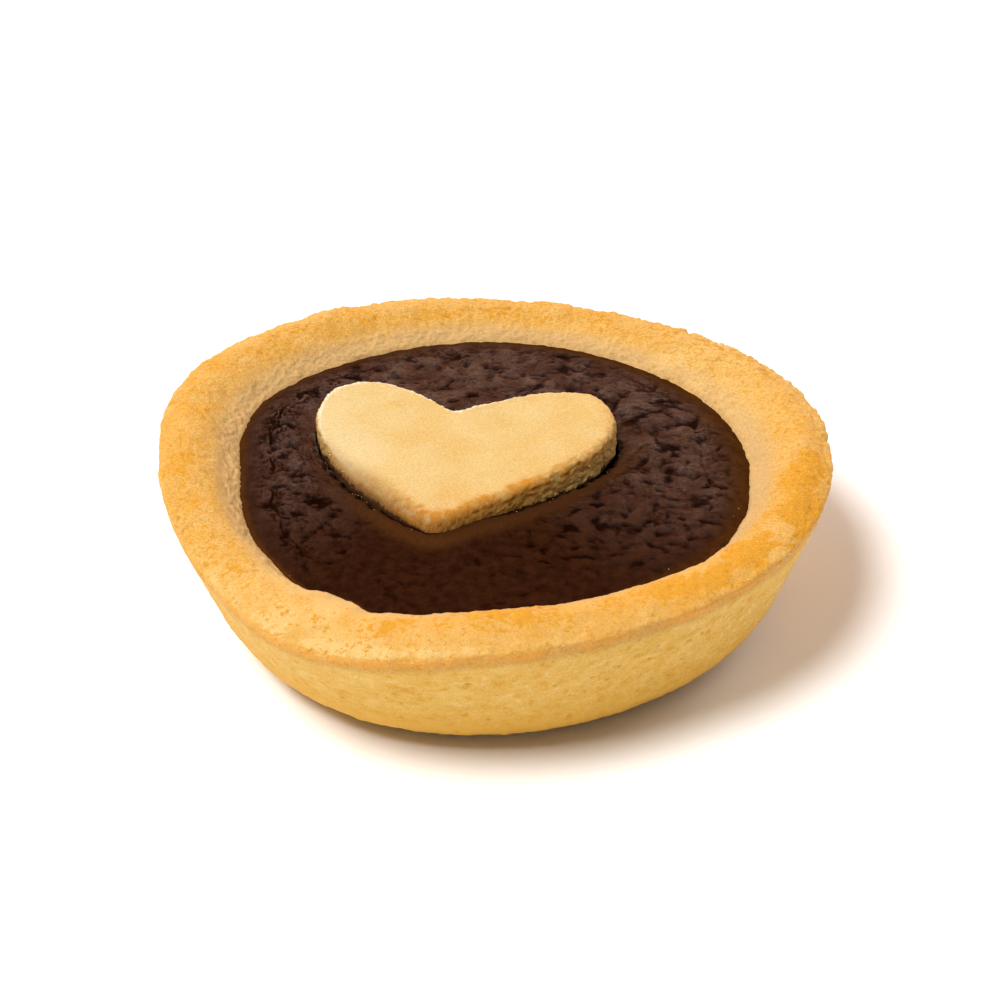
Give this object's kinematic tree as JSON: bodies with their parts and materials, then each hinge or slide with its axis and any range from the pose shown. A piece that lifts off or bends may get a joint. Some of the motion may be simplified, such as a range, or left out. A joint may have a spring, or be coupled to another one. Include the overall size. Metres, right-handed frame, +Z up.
{
  "type": "chocolate tart",
  "caption": "Hand-made round tart: a flared golden shortcrust case, a baked dark chocolate filling with a wrinkled skin, and a pale heart-shaped biscuit sunk a little into it.",
  "frame": {"origin": "on the surface that the tart stands on, under the middle of its outline", "axes": "+Z up; -Y is the front, where the heart points; +X is to the right seen from the front"},
  "size_m": [0.0883, 0.09, 0.0246],
  "materials": {
    "crust": "matt baked shortcrust, golden, toasted in specks on the rim, paler inside",
    "filling": "satin baked dark chocolate with a wrinkled skin",
    "biscuit": "matt pale shortbread with a crumbly side"
  },
  "bodies": {
    "root": {"crust": "crust", "filling": "filling", "heart_biscuit": "biscuit"}
  },
  "joints": []
}
